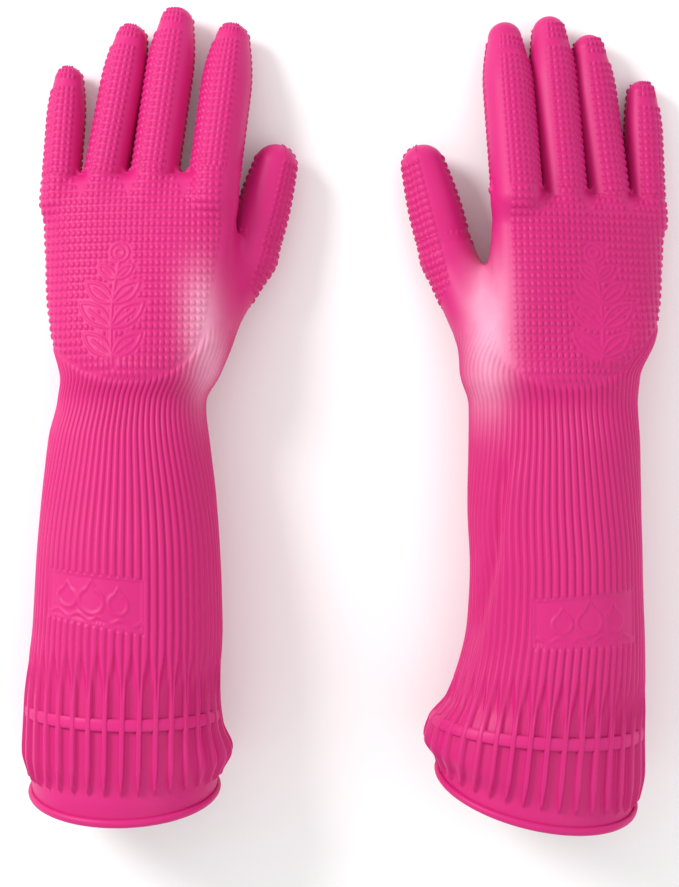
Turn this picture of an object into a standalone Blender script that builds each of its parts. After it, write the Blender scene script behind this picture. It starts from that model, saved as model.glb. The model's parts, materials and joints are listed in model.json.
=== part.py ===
"""A pair of long household rubber gloves lying palm down, as a Blender model.

Lengths are in metres and +Z is up. Each glove is drawn in its own frame: the origin is on the
table under the wrist, +Y runs to the fingertips, and +X is the thumb's side. The right glove
uses the same mould with X turned round, so both gloves share every size of the rubber. What
differs between them is only how they lie: the outline of the sleeve, the roll of the hand and
where each fingertip points.
"""

import math

import bmesh
import bpy
from mathutils import Vector

# The rubber
WALL = 0.0010  # the film together with its nubs and ribs
GAP = 0.0003  # between pieces that meet
FLAT_SINK = 0.0020  # how far the round sleeve is pressed flat where it rests

# The sleeve, from the wrist to the rim
SLEEVE_LENGTH = 0.1765
SLEEVE_WIDTH = 0.0880

# The wrist, the soft stretch between hand and sleeve, along Y
WRIST_FRONT = 0.0120
WRIST_BACK = -0.0180
RISE_FROM = -0.0450  # the sleeve leaves the table here and rises to the hand

# The elastic ring and the rolled rim
BAND_WIDTH = 0.0040
BAND_PROUD = 0.0010
BEAD_RADIUS = 0.0023
BEAD_CLEARANCE = 0.0009  # between the cuff's slanting end and the bead

# How finely things are drawn
SLEEVE_SIDES = 28
PALM_SIDES = 24
FINGER_SIDES = 12
BEAD_SIDES = 8

# The fingers of the mould, thumb side first: whole length, length up to the middle joint, and
# width at the root
FINGERS = {
    "index": (0.0765, 0.0370, 0.0234),
    "middle": (0.0810, 0.0400, 0.0220),
    "ring": (0.0745, 0.0370, 0.0206),
    "little": (0.0545, 0.0270, 0.0180),
    "thumb": (0.0540, 0.0255, 0.0252),
}
TIP_SLIMNESS = 0.76  # a finger's width near its tip, as a share of its root
DOME_LENGTH = 0.0110  # the rounded end of a finger
DOME_STEPS = (0.0105, 0.0062, 0.0030, 0.0008)  # rings of the dome, as distances from the tip
STUB_LENGTH = 0.0220  # how far a finger's root runs back into the palm
STUB_SLIMNESS = 0.66  # its width back there, as a share of the finger's root
STUB_CLOSING = 0.90  # the roots draw together towards the middle of the palm
TIP_REST = 0.0004  # the fingertips lie this far above the table

# The palm, from the wrist to the knuckles: place along Y, section height, share of the hand's
# roll, and share of the way from the wrist's width to the knuckles' width
PALM_SECTIONS = (
    (WRIST_FRONT, 0.0520, 0.0, 0.00),
    (0.0300, 0.0455, 0.3, 0.48),
    (0.0500, 0.0400, 0.8, 0.77),
    (0.0750, 0.0330, 1.0, 0.94),
    (0.0930, 0.0270, 1.0, 1.00),
    (0.0970, 0.0180, 1.0, 0.55),
)
PALM_FULLNESS = 0.935  # the palm's width at the knuckles, as a share of the row of fingers
PALM_SQUARENESS = 2.5  # 2 is an ellipse, and more is squarer
PALM_REST_Z = 0.0300  # height of the palm's middle at the wrist
THENAR_RADIUS = 0.0150  # the ball of the thumb
THENAR_Y = 0.0250
THENAR_Z = 0.0270
THENAR_SHARE = 0.63  # its place across the hand, as a share of the wrist's half width
THUMB_ROOT_REST = 0.0039  # the thumb's root lies this far above the table
THUMB_TIP_REST = 0.0029

# How each glove lies on the table:
# roll of the hand in degrees, thumb side up, and the height of the knuckles' middle;
# outline rows give a place from the wrist (0) to the rim (1), then the section's middle, width
# and height as shares of SLEEVE_WIDTH, and its tilt and yaw in degrees;
# webs are the gaps between neighbouring fingers, thumb side first;
# finger rows give the place of the root along Y and the lean towards the thumb in degrees.
LEFT = {
    "name": "left",
    "side": 1,
    "at": (-0.0990, 0.0048),
    "roll": 10.0,
    "knuckle_z": 0.0245,
    "knuckle_middle": 0.0033,
    "band_place": 0.798,
    "rim_place": 1.000,
    "outline": (
        (-0.068, 0.034, 0.801, 0.591, 0.0, 0.0),
        (0.000, -0.003, 0.753, 0.580, 0.0, 0.0),
        (0.102, -0.018, 0.814, 0.648, 0.0, 0.0),
        (0.255, -0.016, 0.881, 0.739, 0.0, 0.0),
        (0.414, -0.016, 0.926, 0.795, 0.0, 0.0),
        (0.567, -0.018, 0.952, 0.818, 1.0, 0.0),
        (0.771, -0.045, 0.986, 0.841, 3.4, -1.7),
        (0.827, -0.040, 1.006, 0.852, 5.0, -1.7),
        (0.895, -0.019, 1.062, 0.852, 9.0, -1.0),
        (0.952, -0.028, 0.980, 0.841, 13.0, 0.0),
        (1.003, -0.034, 0.943, 0.830, 16.0, 0.0),
    ),
    "webs": (0.0054, 0.0023, 0.0018),
    "fingers": {
        "index": (0.1027, 6.1),
        "middle": (0.1050, 6.9),
        "ring": (0.1034, 9.2),
        "little": (0.1029, 2.6),
    },
    "thumb": (0.0058, 0.0670, 15.3),
}
RIGHT = {
    "name": "right",
    "side": -1,
    "at": (0.0940, 0.0025),
    "roll": 18.0,
    "knuckle_z": 0.0265,
    "knuckle_middle": -0.0127,
    "band_place": 0.818,
    "rim_place": 0.984,
    "outline": (
        (-0.068, 0.015, 0.898, 0.591, 0.0, 0.0),
        (0.000, 0.003, 0.858, 0.580, 0.0, 0.0),
        (0.102, -0.001, 0.869, 0.648, 0.0, 0.0),
        (0.255, 0.000, 0.876, 0.727, 0.0, 0.0),
        (0.414, -0.008, 0.867, 0.773, 0.0, 0.0),
        (0.567, -0.002, 0.894, 0.795, 1.0, 0.0),
        (0.759, 0.048, 1.001, 0.830, 6.0, 2.5),
        (0.827, 0.097, 1.091, 0.841, 8.0, 4.0),
        (0.890, 0.109, 1.119, 0.841, 13.0, 7.0),
        (0.941, 0.091, 1.045, 0.830, 17.0, 9.0),
        (0.986, 0.100, 1.000, 0.818, 20.0, 10.0),
    ),
    "webs": (0.0007, 0.0011, 0.0007),
    "fingers": {
        "index": (0.1055, 2.8),
        "middle": (0.1024, 3.7),
        "ring": (0.0998, 6.3),
        "little": (0.0977, 1.8),
    },
    "thumb": (0.0188, 0.0690, 14.7),
}

# Colours of the rubber: red, green and blue, as a shader takes them
PINK = (0.78, 0.075, 0.30)
DEEP_PINK = (0.70, 0.055, 0.25)
LIGHT_PINK = (0.82, 0.11, 0.34)


def clear_scene():
    for obj in list(bpy.data.objects):
        bpy.data.objects.remove(obj, do_unlink=True)


def rubber(name, colour, roughness):
    """A satin, faintly glossy latex material."""
    material = bpy.data.materials.get(name)
    if material is None:
        material = bpy.data.materials.new(name)
        material.use_nodes = True
        shader = material.node_tree.nodes["Principled BSDF"]
        shader.inputs["Base Color"].default_value = (*colour, 1.0)
        shader.inputs["Roughness"].default_value = roughness
        shader.inputs["Metallic"].default_value = 0.0
    return material


def hand_rubber():
    return rubber("hand_rubber", PINK, 0.45)


def sleeve_rubber():
    return rubber("sleeve_rubber", DEEP_PINK, 0.50)


def band_rubber():
    return rubber("band_rubber", LIGHT_PINK, 0.42)


def row_at(rows, place):
    """The values of a table at one place, read on straight lines between its rows."""
    for first, second in zip(rows, rows[1:]):
        if first[0] <= place <= second[0]:
            share = (place - first[0]) / (second[0] - first[0])
            return [a + (b - a) * share for a, b in zip(first[1:], second[1:])]
    nearest = min(rows, key=lambda row: abs(row[0] - place))
    return list(nearest[1:])


def outline_at(glove, y):
    """The sleeve's middle, width, height, tilt and yaw at y, in metres and degrees."""
    middle, width, height, tilt, yaw = row_at(glove["outline"], -y / SLEEVE_LENGTH)
    return middle * SLEEVE_WIDTH, width * SLEEVE_WIDTH, height * SLEEVE_WIDTH, tilt, yaw


def band_y(glove):
    return -glove["band_place"] * SLEEVE_LENGTH


def rim_y(glove):
    return -glove["rim_place"] * SLEEVE_LENGTH


def superellipse(angle, half_width, half_height, squareness):
    cos_a, sin_a = math.cos(angle), math.sin(angle)
    across = math.copysign(abs(cos_a) ** (2 / squareness), cos_a) * half_width
    upward = math.copysign(abs(sin_a) ** (2 / squareness), sin_a) * half_height
    return across, upward


def sleeve_centre_z(height, y):
    """Height of the sleeve's middle: it lies flat, then rises to meet the hand."""
    hand_height = PALM_SECTIONS[0][1]
    rise = PALM_REST_Z - (hand_height / 2 - FLAT_SINK)
    share = max(0.0, (y - RISE_FROM) / (WRIST_FRONT - RISE_FROM))
    return height / 2 - FLAT_SINK + rise * share


def sleeve_ring(glove, y, inset):
    """One closed section of the sleeve at y. Its underside is flat where it rests."""
    middle, width, height, tilt, yaw = outline_at(glove, y)
    centre_z = sleeve_centre_z(height, y)
    points = []
    for k in range(SLEEVE_SIDES):
        angle = 2 * math.pi * (k + 0.5) / SLEEVE_SIDES
        across, upward = superellipse(angle, width / 2 - inset, height / 2 - inset, 2)
        z = max(centre_z + upward, inset, 0.0)
        shear = across * math.tan(math.radians(yaw)) - (z - centre_z) * math.tan(math.radians(tilt))
        points.append(Vector((middle + across, y + shear, z)))
    return points


def knuckle_row(glove):
    """Each finger's place across the hand, measured along the roll, and the row's width."""
    gaps = (0.0, *glove["webs"])
    names = list(glove["fingers"])
    whole = sum(FINGERS[name][2] for name in names) + sum(gaps)
    edge = glove["knuckle_middle"] + whole / 2
    places = {}
    for name, gap in zip(names, gaps):
        width = FINGERS[name][2]
        places[name] = edge - gap - width / 2
        edge -= gap + width
    return places, whole


def palm_size(glove, index):
    """Middle and width of section number index of the palm."""
    share = PALM_SECTIONS[index][3]
    wrist_middle, wrist_width, _, _, _ = outline_at(glove, WRIST_FRONT)
    _, row_width = knuckle_row(glove)
    knuckle_middle = glove["knuckle_middle"] * math.cos(math.radians(glove["roll"]))
    middle_share = 1.0 if index == len(PALM_SECTIONS) - 1 else share
    middle = wrist_middle + (knuckle_middle - wrist_middle) * middle_share
    return middle, wrist_width + (row_width * PALM_FULLNESS - wrist_width) * share


def palm_ring(glove, index, inset):
    """Section number index of the palm, rolled with the hand."""
    y, height, roll_share, _ = PALM_SECTIONS[index]
    middle, width = palm_size(glove, index)
    roll = math.radians(glove["roll"]) * roll_share
    reach = (y - WRIST_FRONT) / (PALM_SECTIONS[-1][0] - WRIST_FRONT)
    centre_z = PALM_REST_Z + (glove["knuckle_z"] - PALM_REST_Z) * reach + middle * math.tan(roll)
    points = []
    for k in range(PALM_SIDES):
        angle = 2 * math.pi * (k + 0.5) / PALM_SIDES
        across, upward = superellipse(
            angle, width / 2 - inset, height / 2 - inset, PALM_SQUARENESS
        )
        x = middle + across * math.cos(roll) - upward * math.sin(roll)
        z = centre_z + across * math.sin(roll) + upward * math.cos(roll)
        points.append(Vector((x, y, z)))
    return points


def finger_radius(name, from_tip):
    """A finger's radius at a distance from its tip."""
    length, _, width = FINGERS[name]
    share = min(from_tip / length, 1.0)
    taper = TIP_SLIMNESS + (1 - TIP_SLIMNESS) * math.sin(share * math.pi / 2)
    dome = math.sqrt(1 - (1 - min(from_tip / DOME_LENGTH, 1.0)) ** 2)
    return width / 2 * taper * dome


def thumb_root(glove):
    """The thumb starts beside the palm's edge at the knuckles."""
    beside, y, _ = glove["thumb"]
    middle, width = palm_size(glove, len(PALM_SECTIONS) - 2)
    return Vector((middle + width / 2 + beside, y, FINGERS["thumb"][2] / 2 + THUMB_ROOT_REST))


def finger_frame(glove, name):
    """Where a finger starts and its three directions: along, across and up from its back."""
    length, _, width = FINGERS[name]
    roll = math.radians(glove["roll"])
    if name == "thumb":
        root = thumb_root(glove)
        lean = glove["thumb"][2]
        tip_z = width / 2 * TIP_SLIMNESS + THUMB_TIP_REST
    else:
        root_y, lean = glove["fingers"][name]
        place = knuckle_row(glove)[0][name]
        root_z = glove["knuckle_z"] + place * math.sin(roll)
        root = Vector((place * math.cos(roll), root_y, root_z))
        tip_z = width / 2 * TIP_SLIMNESS + TIP_REST
    drop = (root.z - tip_z) / length
    level = math.sqrt(1 - drop**2)
    turn = math.radians(lean)
    along = Vector((math.sin(turn) * level, math.cos(turn) * level, -drop))
    rolled = Vector((math.cos(roll), 0, math.sin(roll)))
    across = (rolled - along * rolled.dot(along)).normalized()
    back = across.cross(along).normalized()
    return root, along, across, back


def round_ring(centre, across, back, radius, sides=FINGER_SIDES):
    points = []
    for k in range(sides):
        angle = 2 * math.pi * (k + 0.5) / sides
        points.append(centre + (across * math.cos(angle) + back * math.sin(angle)) * radius)
    return points


def finger_rings(glove, name, distances, inset):
    """Rings of a finger at these distances from its root."""
    length = FINGERS[name][0]
    root, along, across, back = finger_frame(glove, name)
    rings = []
    for distance in distances:
        radius = finger_radius(name, length - distance) - inset
        rings.append(round_ring(root + along * distance, across, back, radius))
    return rings


def bend_point(glove, name, distance, towards=None):
    """The point on a finger's palm edge about which it bends at this distance from its root."""
    root, along, across, back = finger_frame(glove, name)
    away = back if towards is None else -towards
    radius = finger_radius(name, FINGERS[name][0] - distance)
    return root + along * distance - away * radius


def inward_down(glove):
    """The direction in which the thumb's end bends: down and towards the palm."""
    _, along, across, back = finger_frame(glove, "thumb")
    return (-across - back).normalized()


def outward(glove):
    """The direction away from the palm, at a right angle to the thumb."""
    return finger_frame(glove, "thumb")[2]


def joint_places(glove):
    """Each joint's point and the direction it bends in, in the glove's frame."""
    places = {}
    wrist_y = (WRIST_FRONT + WRIST_BACK) / 2
    _, _, height, _, _ = outline_at(glove, wrist_y)
    wrist_point = Vector((0, wrist_y, sleeve_centre_z(height, wrist_y)))
    places["wrist"] = (wrist_point, Vector((0, 0, -1)), Vector((0, 1, 0)))
    for name, (_, base_length, _) in FINGERS.items():
        _, along, _, back = finger_frame(glove, name)
        root_bend = outward(glove) if name == "thumb" else -back
        end_bend = inward_down(glove) if name == "thumb" else -back
        root_point = bend_point(glove, name, GAP / 2, root_bend)
        end_point = bend_point(glove, name, base_length + GAP / 2, end_bend)
        places[name + "_root"] = (root_point, root_bend, along)
        places[name + "_end"] = (end_point, end_bend, along)
    return places


def mirrored(glove, point):
    return Vector((point.x * glove["side"], point.y, point.z))


def solid_from_rings(glove, name, rings, looped, material, origin=Vector()):
    """An object whose skin joins each ring to the next. Looped closes it end to end."""
    mesh = bpy.data.meshes.new(name)
    shape = bmesh.new()
    loops = [[shape.verts.new(mirrored(glove, p - origin)) for p in ring] for ring in rings]
    pairs = list(zip(loops, loops[1:] + loops[:1])) if looped else list(zip(loops, loops[1:]))
    for first, second in pairs:
        count = len(first)
        for k in range(count):
            following = (k + 1) % count
            shape.faces.new((first[k], first[following], second[following], second[k]))
    if not looped:
        shape.faces.new(loops[0])
        shape.faces.new(loops[-1])
    bmesh.ops.recalc_face_normals(shape, faces=shape.faces)
    bmesh.ops.triangulate(shape, faces=shape.faces)
    shape.to_mesh(mesh)
    shape.free()
    mesh.shade_smooth()
    mesh.set_sharp_from_angle(angle=math.radians(50))
    mesh.materials.append(material)
    obj = bpy.data.objects.new(name, mesh)
    bpy.context.collection.objects.link(obj)
    return obj


def empty(name, location, parent):
    obj = bpy.data.objects.new(name, None)
    obj.empty_display_size = 0.01
    obj.location = location
    obj.parent = parent
    bpy.context.collection.objects.link(obj)
    return obj


def joint_empties(glove, glove_empty):
    """An empty on each joint's axis, each under the piece that carries it."""
    places = joint_places(glove)
    made = {}
    wrist = mirrored(glove, places["wrist"][0])
    made["wrist"] = empty(f"{glove['name']}_wrist_axis", wrist, glove_empty)
    for name in FINGERS:
        root = mirrored(glove, places[name + "_root"][0])
        end = mirrored(glove, places[name + "_end"][0])
        made[name + "_root"] = empty(
            f"{glove['name']}_{name}_root_axis", root - wrist, made["wrist"]
        )
        made[name + "_end"] = empty(
            f"{glove['name']}_{name}_end_axis", end - root, made[name + "_root"]
        )
    return made


def tube(glove, name, places, outer_inset, inner_inset, parent):
    """A hollow length of the sleeve with one ring at each place."""
    outer = [sleeve_ring(glove, y, outer_inset) for y in places]
    inner = [sleeve_ring(glove, y, inner_inset) for y in places]
    obj = solid_from_rings(
        glove, f"{glove['name']}_{name}", outer + inner[::-1], True, sleeve_rubber()
    )
    obj.parent = parent
    return obj


def outline_places(glove, front, back):
    """Front and back, and each outline row well between them."""
    margin = 0.002
    rows = [-row[0] * SLEEVE_LENGTH for row in glove["outline"]]
    return [front, *[y for y in rows if back + margin < y < front - margin], back]


def wrist(glove, parent):
    places = outline_places(glove, WRIST_FRONT, WRIST_BACK)
    return tube(glove, "wrist", places, 0, WALL, parent)


def sleeve(glove, parent):
    front = WRIST_BACK - GAP
    back = band_y(glove) + BAND_WIDTH / 2 + GAP
    return tube(glove, "sleeve", outline_places(glove, front, back), 0, WALL, parent)


def elastic_band(glove, parent):
    places = [band_y(glove) + BAND_WIDTH / 2, band_y(glove) - BAND_WIDTH / 2]
    band = tube(glove, "elastic_band", places, -BAND_PROUD, WALL, parent)
    band.data.materials[0] = band_rubber()
    return band


def cuff(glove, parent):
    front = band_y(glove) - BAND_WIDTH / 2 - GAP
    back = rim_y(glove) + BEAD_RADIUS + BEAD_CLEARANCE
    return tube(glove, "pleated_cuff", outline_places(glove, front, back), 0, WALL, parent)


def rim(glove, parent):
    """The rolled bead along the open end, drawn as a small circle carried round the section."""
    path = sleeve_ring(glove, rim_y(glove), WALL / 2)
    middle = sum(path, Vector()) / len(path)
    rings = []
    for point in path:
        outwards = (point - middle).normalized()
        outwards.y = 0
        outwards.normalize()
        lift = Vector((0, 0, BEAD_RADIUS - WALL / 2))
        centre = point + lift if point.z < BEAD_RADIUS else point
        rings.append(round_ring(centre, outwards, Vector((0, 1, 0)), BEAD_RADIUS, BEAD_SIDES))
    obj = solid_from_rings(glove, f"{glove['name']}_rim", rings, True, sleeve_rubber())
    obj.parent = parent
    return obj


def stub_rings(glove, name, inset, overrun):
    """A finger's root inside the palm, from deep inside to the joint."""
    root, along, across, back = finger_frame(glove, name)
    width = FINGERS[name][2]
    rings = []
    if name == "thumb":
        wrist_middle, wrist_width, _, _, _ = outline_at(glove, WRIST_FRONT)
        start = Vector((wrist_middle + wrist_width / 2 * THENAR_SHARE, THENAR_Y, THENAR_Z))
        axis = (root - start).normalized()
        side = (across - axis * across.dot(axis)).normalized()
        up = side.cross(axis)
        rings.append(round_ring(start, side, up, THENAR_RADIUS - inset))
        half_way = (start + root) / 2
        mean = (THENAR_RADIUS + width / 2) / 2
        rings.append(round_ring(half_way, side, up, mean - inset))
    else:
        start = Vector((root.x * STUB_CLOSING, root.y - STUB_LENGTH, root.z))
        rings.append(round_ring(start, across, back, width / 2 * STUB_SLIMNESS - inset))
    rings.append(round_ring(root, across, back, width / 2 - inset))
    if overrun:
        rings.append(round_ring(root + along * overrun, across, back, width / 2 - inset))
    return rings


def cutter(glove, name, rings):
    obj = solid_from_rings(glove, name, rings, False, hand_rubber())
    obj.hide_render = True
    obj.display_type = "WIRE"
    return obj


def add_boolean(obj, other, operation):
    modifier = obj.modifiers.new(other.name, "BOOLEAN")
    modifier.operation = operation
    modifier.object = other
    modifier.solver = "EXACT"


def hand(glove, parent):
    """The palm and back of the hand with the finger roots and the ball of the thumb."""
    prefix = glove["name"]
    sections = range(len(PALM_SECTIONS))
    outer = [palm_ring(glove, k, 0) for k in sections]
    outer[0] = [p + Vector((0, GAP, 0)) for p in outer[0]]
    obj = solid_from_rings(glove, f"{prefix}_hand", outer, False, hand_rubber())
    inner = [palm_ring(glove, k, WALL) for k in sections]
    inner[0] = [p - Vector((0, WALL, 0)) for p in inner[0]]
    inner[-1] = [p - Vector((0, WALL, 0)) for p in inner[-1]]
    hollow = cutter(glove, f"{prefix}_hand_hollow", inner)
    moved = [obj, hollow]
    for name in FINGERS:
        stub = cutter(glove, f"{prefix}_{name}_stub", stub_rings(glove, name, 0, 0))
        bore = cutter(glove, f"{prefix}_{name}_bore", stub_rings(glove, name, WALL, WALL))
        add_boolean(obj, stub, "UNION")
        add_boolean(hollow, bore, "UNION")
        moved += [stub, bore]
    add_boolean(obj, hollow, "DIFFERENCE")
    wrist_axis = mirrored(glove, joint_places(glove)["wrist"][0])
    for each in moved:
        each.parent = parent
        each.location = -wrist_axis
    return obj


def finger_base(glove, name, parent):
    """The open tube from a finger's root to its middle joint."""
    base_length = FINGERS[name][1]
    origin = joint_places(glove)[name + "_root"][0]
    distances = [GAP, base_length / 2, base_length]
    outer = finger_rings(glove, name, distances, 0)
    inner = finger_rings(glove, name, distances, WALL)
    obj = solid_from_rings(
        glove, f"{glove['name']}_{name}_base", outer + inner[::-1], True, hand_rubber(), origin
    )
    obj.parent = parent
    return obj


def finger_tip(glove, name, parent):
    """The closed end of a finger: a cup whose mouth meets the base at the middle joint."""
    length, base_length, _ = FINGERS[name]
    origin = joint_places(glove)[name + "_end"][0]
    mouth = base_length + GAP
    straight = (mouth + length - DOME_LENGTH) / 2
    outer_places = [mouth, straight, *[length - d for d in DOME_STEPS]]
    inner_places = [mouth, straight, *[length - d for d in DOME_STEPS[:-1]]]
    outer = finger_rings(glove, name, outer_places, 0)
    inner = finger_rings(glove, name, inner_places, WALL)
    obj = solid_from_rings(
        glove, f"{glove['name']}_{name}_tip", inner[::-1] + outer, False, hand_rubber(), origin
    )
    obj.parent = parent
    return obj


def build_glove(glove):
    glove_empty = empty(f"{glove['name']}_glove", (*glove["at"], 0), None)
    axes = joint_empties(glove, glove_empty)
    wrist(glove, glove_empty)
    sleeve(glove, glove_empty)
    elastic_band(glove, glove_empty)
    cuff(glove, glove_empty)
    rim(glove, glove_empty)
    hand(glove, axes["wrist"])
    for name in FINGERS:
        finger_base(glove, name, axes[name + "_root"])
        finger_tip(glove, name, axes[name + "_end"])


def main():
    clear_scene()
    for glove in (LEFT, RIGHT):
        build_glove(glove)


main()
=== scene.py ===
"""A pair of long household rubber gloves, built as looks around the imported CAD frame.

Each glove is drawn in its own frame in metres: the origin is under the wrist, +Y runs to the
fingertips and +X is the thumb's side. The right glove turns X round. The rubber is one skin,
cut into pieces where the bodies of the frame meet, so the cuts don't show.
"""

import json
import math

import bmesh
import bpy
import numpy as np
import openvdb
from bpy.props import FloatProperty, FloatVectorProperty, PointerProperty
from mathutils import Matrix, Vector


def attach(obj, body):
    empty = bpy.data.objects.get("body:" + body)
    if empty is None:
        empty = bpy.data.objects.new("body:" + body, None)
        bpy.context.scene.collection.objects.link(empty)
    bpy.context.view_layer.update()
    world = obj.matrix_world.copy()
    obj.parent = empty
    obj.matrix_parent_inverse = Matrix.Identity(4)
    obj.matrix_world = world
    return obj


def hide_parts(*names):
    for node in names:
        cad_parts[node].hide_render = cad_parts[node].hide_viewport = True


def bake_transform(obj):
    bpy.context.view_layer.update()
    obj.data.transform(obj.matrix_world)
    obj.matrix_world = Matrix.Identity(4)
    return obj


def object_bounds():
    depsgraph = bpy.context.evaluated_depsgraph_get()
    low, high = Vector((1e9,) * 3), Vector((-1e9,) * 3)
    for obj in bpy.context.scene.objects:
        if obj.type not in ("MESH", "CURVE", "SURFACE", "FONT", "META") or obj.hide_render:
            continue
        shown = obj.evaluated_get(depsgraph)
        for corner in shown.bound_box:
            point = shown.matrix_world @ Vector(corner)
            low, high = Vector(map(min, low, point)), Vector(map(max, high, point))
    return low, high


bl_info = {
    "name": "Rubber gloves",
    "version": (1, 0, 0),
    "blender": (4, 5, 0),
    "location": "View3D > Sidebar > Gloves",
    "description": "A pair of long rubber gloves with nubbed hands, ribbed sleeves and pleated cuffs",
    "category": "Object",
}

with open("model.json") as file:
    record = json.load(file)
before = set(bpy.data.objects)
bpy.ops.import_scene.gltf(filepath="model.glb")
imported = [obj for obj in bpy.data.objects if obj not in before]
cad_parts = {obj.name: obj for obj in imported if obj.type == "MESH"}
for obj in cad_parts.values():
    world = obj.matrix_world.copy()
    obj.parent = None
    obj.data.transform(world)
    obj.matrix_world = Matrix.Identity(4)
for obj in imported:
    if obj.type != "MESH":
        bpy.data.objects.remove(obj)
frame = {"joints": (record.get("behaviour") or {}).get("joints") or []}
CAD_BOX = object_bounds()
JOINTS = {joint["name"]: joint for joint in frame["joints"]}

# ---------------------------------------------------------------- sizes of the mould
SLEEVE_LENGTH = 0.1765
SLEEVE_WIDTH = 0.0880
WRIST_FRONT = 0.0120
WRIST_BACK = -0.0180
RISE_FROM = -0.0450
FLAT_SINK = 0.0020
SLEEVE_LIFT = 0.0007  # the lowest the sleeve's skin lies over the table
WRIST_JOINT_Y = -0.0030

RIB_COUNT = 70
STEPS_PER_RIB = 8
COLUMNS = RIB_COUNT * STEPS_PER_RIB
RIB_DEPTH = 0.00120
PLEAT_DEPTH = 0.0024

FINGERS = {
    "index": (0.0765, 0.0370, 0.0234),
    "middle": (0.0810, 0.0400, 0.0220),
    "ring": (0.0745, 0.0370, 0.0206),
    "little": (0.0545, 0.0270, 0.0180),
    "thumb": (0.0540, 0.0255, 0.0252),
}
TIP_SLIMNESS = 0.76
TIP_REST = 0.0004
THUMB_TIP_REST = 0.0029
THUMB_ROOT_REST = 0.0039
TIP_SHARE = {"index": 0.70, "middle": 0.74, "ring": 0.76, "little": 0.78, "thumb": 0.82}

PALM_SECTIONS = (
    (0.0300, 0.0455, 0.3, 0.48),
    (0.0500, 0.0400, 0.8, 0.77),
    (0.0750, 0.0330, 1.0, 0.94),
    (0.0880, 0.0285, 1.0, 0.985),
)
WRIST_HEIGHT = 0.0520
KNUCKLE_Y = 0.0970
PALM_FULLNESS = 0.965
PALM_SQUARENESS = 2.5
PALM_EDGE_SHARE = 0.9845
PALM_REST_Z = 0.0300
THENAR_RADIUS = 0.0150
THENAR_Y = 0.0250
THENAR_Z = 0.0270
THENAR_SHARE = 0.63

STRAIGHT_FROM = -0.1050
JOIN_Y = 0.0450  # ringed rows below, meshed block above
NUB_HEIGHT = 0.00072
NUB_SHARE_INSIDE = 0.6  # share of a nub that lies inside a finger's stated width
NUB_ACROSS = 0.00262
NUB_ALONG_FINGER = 0.00335
NUB_ALONG_PALM = 0.00360

BAND_HALF_WIDTH = 0.0025
BAND_THICKNESS = 0.0016
BEAD_STAND = 0.0004
ROUND_SECTION = 2.0

# ---------------------------------------------------------------- sizes of the stage
FLOOR_HALF_WIDTH = 6.0
FLOOR_GAP = 0.0005
WORLD_STRENGTH = 0.86
CAMERA_LENS = 86.0
CAMERA_PLACE = (-0.0042, -0.0152, 1.0)

# ---------------------------------------------------------------- the two gloves as they lie
LEFT = {
    "name": "left",
    "side": 1,
    "roll": 10.0,
    "knuckle_z": 0.0245,
    "knuckle_middle": 0.0033,
    "band_place": 0.798,
    "rim_place": 1.000,
    "web_y": 0.1040,
    "pleats_from": 0.1135,
    "pleats_to": 0.1710,
    "panel": (-0.0350, 0.0090, -0.0753, -0.0797, -0.0966, -0.1045),
    "sprig": (-0.0065, 0.0440),
    "nub_middle": -0.0010,
    "nub_half": 0.0330,
    # Place and size of the paler patch over the thumb's root, partly a painted highlight.
    "pale": (0.0348, 0.0239, 0.0090, 0.0330, 0.10),
    "outline": (
        (-0.068, 0.034, 0.801, 0.591, 0.0, 0.0),
        (0.000, -0.003, 0.753, 0.580, 0.0, 0.0),
        (0.102, -0.018, 0.814, 0.648, 0.0, 0.0),
        (0.255, -0.016, 0.881, 0.739, 0.0, 0.0),
        (0.414, -0.016, 0.926, 0.795, 0.0, 0.0),
        (0.567, -0.018, 0.952, 0.818, 1.0, 0.0),
        (0.771, -0.045, 0.986, 0.841, 3.4, -1.7),
        (0.827, -0.040, 1.006, 0.852, 5.0, -1.7),
        (0.895, -0.019, 1.062, 0.852, 9.0, -1.0),
        (0.952, -0.028, 0.980, 0.841, 13.0, 0.0),
        (1.003, -0.034, 0.943, 0.830, 16.0, 0.0),
    ),
    "webs": (0.0054, 0.0023, 0.0018),
    "fingers": {
        "index": (0.1027, 6.1),
        "middle": (0.1050, 6.9),
        "ring": (0.1034, 9.2),
        "little": (0.1029, 2.6),
    },
    "thumb": (0.0058, 0.0670, 15.3),
}
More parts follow.
